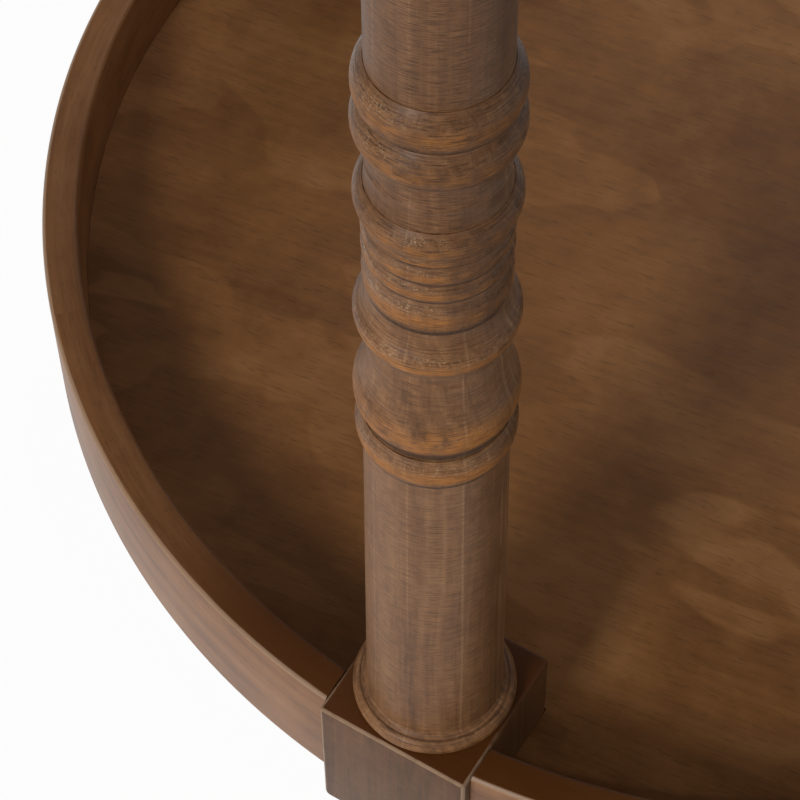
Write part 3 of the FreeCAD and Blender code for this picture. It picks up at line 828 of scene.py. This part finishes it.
def rim_finish():
    wood = Finish(bpy.data.materials.new("rim_wood"))
    x, y, z = wood.place()
    round_table = wood.math("ARCTAN2", y, x) * tray_radius
    radius = wood.length(x, y)
    flow = wood.noise(wood.vector(round_table * 3, radius * 9, z * 9), 1.6, 2.0)
    grain_at = wood.vector(round_table * 0.07, radius + flow * 0.004, z + flow * 0.006)
    fibre = wood.noise(grain_at, RIM_FIBRE_SCALE, 4.0, 0.65)
    figure = wood.noise(grain_at, RIM_FIGURE_SCALE, 3.0, 0.55)
    cloud = wood.noise(wood.vector(round_table, radius, z), RIM_CLOUD_SCALE, 4.0, 0.6)
    pores = wood.noise(wood.vector(round_table * 0.10, radius, z), RIM_PORE_SCALE, 1.0)

    tone = fibre * 0.34 + figure * 0.40 + cloud * 0.46
    colour = wood.ramp(tone, ((0.42, RIM_DARK), (0.62, RIM_MIDDLE), (0.86, RIM_LIGHT)))
    colour = wood.blend(wood.rise(pores, 0.40, 0.28) * RIM_PORE_SHARE, colour, SHADE_AND_PORE_DARK)
    # Painted shade on the rim tops, darkest beside the blocks.
    turn = round_table / tray_radius - leg_turn(0)
    near_block = wood.math("COSINE", turn * LEGS) + (cloud - 0.5) * 0.5
    painted_shade = wood.rise(near_block, 0.1, 0.9) * RIM_TOP_SHADE_BY_BLOCKS + RIM_TOP_SHADE_LEAST
    colour = wood.blend(on_top(wood, z) * painted_shade, colour, PAINTED_TOP_SHADE)
    rub = wood.noise(wood.vector(x, y, z), RUB_SCALE, 3.0, 0.65)
    # Worn edges are paler, which also paints a highlight along them.
    worn_and_highlit = wood.rise(wood.painted("edge") * 0.75 + rub * 0.55, 0.62, 1.02)
    colour = wood.blend(worn_and_highlit * RIM_WEAR_AND_HIGHLIGHT, colour, WORN_AND_HIGHLIGHT)

    grain = wood.bump(fibre * 0.7 + pores, 0.12 * MM, 0.5)
    rough = 0.40 + fibre * 0.14 - worn_and_highlit * 0.06
    coat = wood.rise(radius, tray_radius - OUTSIDE_FROM, tray_radius - OUTSIDE_TO) * RIM_COAT
    return wood.close(Base_Color=colour, Roughness=rough, Coat_Weight=coat, Normal=grain, **SATIN)


dress(rims, rim_finish())
print("%d rims are finished" % len(rims))

# %% [markdown]
# ## Veneered tray floors
# The floors are flat panels with a peeled veneer. Peeling a log slices its growth rings at a flat
# angle, so the figure lies in islands like the lines of a map, pale on one side and dark on the
# other. A Wave texture would only give stripes, but a saw-tooth made from a slow noise gives such
# islands. A flat panel needs no new shape, so the panels of the frame stay and only get a finish.

# %% Finish the tray floors
TIERS = ("lower", "upper")
VENEER_DARK = (0.124, 0.046, 0.011)
VENEER_MIDDLE = (0.216, 0.091, 0.027)
VENEER_LIGHT = (0.318, 0.150, 0.054)
VENEER_TURN = math.radians(-38)
HILL_SCALE = 13
RINGS_ON_A_HILL = 6
VENEER_FIBRE_SCALE = 360
VENEER_CLOUD_SCALE = 13
VENEER_MOTTLE_SCALE = 90
VENEER_PORE_SCALE = 1700
VENEER_PORE_SHARE = 0.28


def veneer_finish():
    wood = Finish(bpy.data.materials.new("tray_veneer"))
    x, y, z = wood.place()
    along = x * math.cos(VENEER_TURN) + y * math.sin(VENEER_TURN)
    across = y * math.cos(VENEER_TURN) - x * math.sin(VENEER_TURN)
    hills = wood.noise(wood.vector(along * 0.50, across, z), HILL_SCALE, 3.0, 0.50, 0.35)
    rings = wood.math("FRACT", hills * RINGS_ON_A_HILL)
    island = wood.rise(rings, 0.0, 0.10) * (1 - rings) * wood.rise(hills, 0.42, 0.60)
    fibre = wood.noise(wood.vector(along * 0.06, across, z), VENEER_FIBRE_SCALE, 4.0, 0.65)
    cloud = wood.noise(wood.vector(x, y, z), VENEER_CLOUD_SCALE, 5.0, 0.58, 0.4)
    mottle = wood.noise(wood.vector(x, y, z), VENEER_MOTTLE_SCALE, 3.0, 0.6)
    pores = wood.noise(wood.vector(along * 0.09, across, z), VENEER_PORE_SCALE, 1.0)

    tone = island * 0.18 + fibre * 0.22 + cloud * 0.58 + mottle * 0.21
    colour = wood.ramp(tone, ((0.38, VENEER_DARK), (0.58, VENEER_MIDDLE), (0.80, VENEER_LIGHT)))
    colour = wood.blend(wood.rise(pores, 0.42, 0.28) * VENEER_PORE_SHARE, colour, SHADE_AND_PORE_DARK)
    grain = wood.bump(fibre + pores * 0.6, 0.08 * MM, 0.4)
    rough = 0.44 + fibre * 0.14 + cloud * 0.06
    return wood.close(Base_Color=colour, Roughness=rough, Normal=grain, **SATIN)


dress([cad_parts[tier + "_panel"] for tier in TIERS], veneer_finish())
print("tray floors are finished")

# %% [markdown]
# ## Hidden pieces
# The dowels are raw beech and the glides dark plastic. Only the glides' edges can be seen, under the
# feet, but both get a finish of their own, because the pieces may be taken apart.

# %% Finish dowels and glides
BEECH_DARK = (0.36, 0.22, 0.12)
BEECH_LIGHT = (0.58, 0.41, 0.25)
BEECH_SCALE = 700
BEECH_ROUGHNESS = 0.6
PLASTIC_DARK = (0.014, 0.012, 0.011)
PLASTIC_LIGHT = (0.032, 0.028, 0.025)
PLASTIC_SCALE = 900
PLASTIC_ROUGHNESS = 0.45


def speckled_finish(name, scale, dark, light, roughness):
    finish = Finish(bpy.data.materials.new(name))
    x, y, z = finish.place()
    speck = finish.noise(finish.vector(x, y, z), scale, 3.0, 0.6)
    colour = finish.ramp(speck, ((0.35, dark), (0.65, light)))
    grain = finish.bump(speck, 0.08 * MM, 0.4)
    return finish.close(Base_Color=colour, Roughness=roughness + speck * 0.12, Normal=grain)


dowels = []
for tier in TIERS:
    for kind in ("rim", "panel"):
        dowels.append(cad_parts["%s_%s_dowels" % (tier, kind)])
beech = speckled_finish("raw_beech", BEECH_SCALE, BEECH_DARK, BEECH_LIGHT, BEECH_ROUGHNESS)
dress(dowels, beech)
plastic = speckled_finish("glide_plastic", PLASTIC_SCALE, PLASTIC_DARK, PLASTIC_LIGHT, PLASTIC_ROUGHNESS)
dress([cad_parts["glides"]], plastic)
print("hidden pieces are finished")

# %% [markdown]
# ## Floor and surround
# A pale floor and a soft, even surround. More light would make them white but bleach the wood, so
# they are white only where the camera or a shiny surface sees them. The floor still takes the table's
# shadow, and the surround gives only a little light.

# %% Lay the floor and light the surround
FLOOR_SIZE = 30
FLOOR_COLOUR = (0.82, 0.82, 0.81, 1)
WHITE = (1, 1, 1, 1)
WHITE_SHARE = 0.96
SURROUND = 0.11


def white_when_seen(finish):
    """One for rays from the camera, a reflection or a clear surface."""
    seen = finish.make("ShaderNodeLightPath", output="Is Camera Ray")
    for name in ("Is Glossy Ray", "Is Transmission Ray"):
        seen = finish.math("MAXIMUM", seen, finish.make("ShaderNodeLightPath", output=name))
    return seen


def floor_finish():
    finish = Finish(bpy.data.materials.new("pale_floor"))
    share = white_when_seen(finish) * WHITE_SHARE
    matt = finish.make("ShaderNodeBsdfDiffuse", None, {"Color": FLOOR_COLOUR})
    glow = finish.make("ShaderNodeEmission", None, {"Color": WHITE, "Strength": 1.0})
    return finish.show(finish.make("ShaderNodeMixShader", None, {0: share, 1: matt, 2: glow}))


start_piece()
bpy.ops.mesh.primitive_plane_add(size=FLOOR_SIZE, location=(0, 0, 0))
floor = bpy.context.object
floor.name = "floor"
dress([floor], floor_finish())

scene = bpy.context.scene
scene.view_settings.view_transform = "Standard"
studio = Finish(bpy.data.worlds.new("studio"))
range_sockets = {"Value": white_when_seen(studio), "To Min": SURROUND, "To Max": 1.0}
strength = studio.make("ShaderNodeMapRange", None, range_sockets)
light = studio.make("ShaderNodeBackground", None, {"Color": WHITE, "Strength": strength})
scene.world = studio.show(light, "ShaderNodeOutputWorld")
print("floor of %d m, surround at %.2f" % (FLOOR_SIZE, SURROUND))

# %% [markdown]
# ## Lamps
# Even light would flatten the beads, so each lamp has one task. A large, low one on the left makes
# the grey sheen on the turned work, and a stronger one above it is the main light, so the right-hand
# sides stay dark and warm. One high behind the table reaches the tray floor under the upper tray, and
# a small one in front draws glints on the beads.

# %% Hang the lamps
LAMPS = (
    ("side", (-1.75, -0.82, 0.55), (-0.1, -0.1, 0.2), 0.90, 7),
    ("key", (-1.30, -1.15, 1.15), (-0.1, -0.1, 0.2), 0.45, 17),
    ("back", (0.70, 1.12, 1.88), (0, 0, 0.15), 0.45, 10.8),
    ("glint", (0.30, -1.35, 1.55), (-0.17, -0.17, 0.4), 0.09, 2.8),
)


def soft_lamp(name, spot, target, size, power):
    """A round lamp that faces its target, with its size in metres and its power in watts."""
    light = bpy.data.lights.new(name, "AREA")
    light.shape = "DISK"
    light.size = size
    light.energy = power
    lamp = bpy.data.objects.new(name, light)
    lamp.location = spot
    lamp.rotation_euler = (Vector(target) - Vector(spot)).to_track_quat("-Z", "Y").to_euler()
    bpy.context.collection.objects.link(lamp)


for lamp_row in LAMPS:
    soft_lamp(*lamp_row)
print("lamps:", len(LAMPS))

# %% [markdown]
# ## Camera
# A long lens looks steeply down on the lower tray, past one leg. A Track To constraint could aim the
# camera, but it would keep it level. The three angles say how far it looks down, turns to the right of
# the Y axis and leans.

# %% Place the camera
CAMERA_SPOT = (-0.2650, -0.5555, 0.8905)
CAMERA_DOWN = 55.70
CAMERA_TURN = 12.75
CAMERA_ROLL = -0.71
CAMERA_LENS = 122.2
SENSOR_WIDTH = 36
NEAR_CLIP = 0.01

camera_data = bpy.data.cameras.new("camera")
camera_data.sensor_width = SENSOR_WIDTH
camera_data.lens = CAMERA_LENS
camera_data.clip_start = NEAR_CLIP
camera = bpy.data.objects.new("camera", camera_data)
bpy.context.collection.objects.link(camera)
turn = Matrix.Rotation(math.radians(-CAMERA_TURN), 4, "Z")
tilt = Matrix.Rotation(math.radians(90 - CAMERA_DOWN), 4, "X")
roll = Matrix.Rotation(math.radians(CAMERA_ROLL), 4, "Z")
camera.matrix_world = Matrix.Translation(CAMERA_SPOT) @ turn @ tilt @ roll
scene.camera = camera
print("camera with a lens of %.1f mm" % CAMERA_LENS)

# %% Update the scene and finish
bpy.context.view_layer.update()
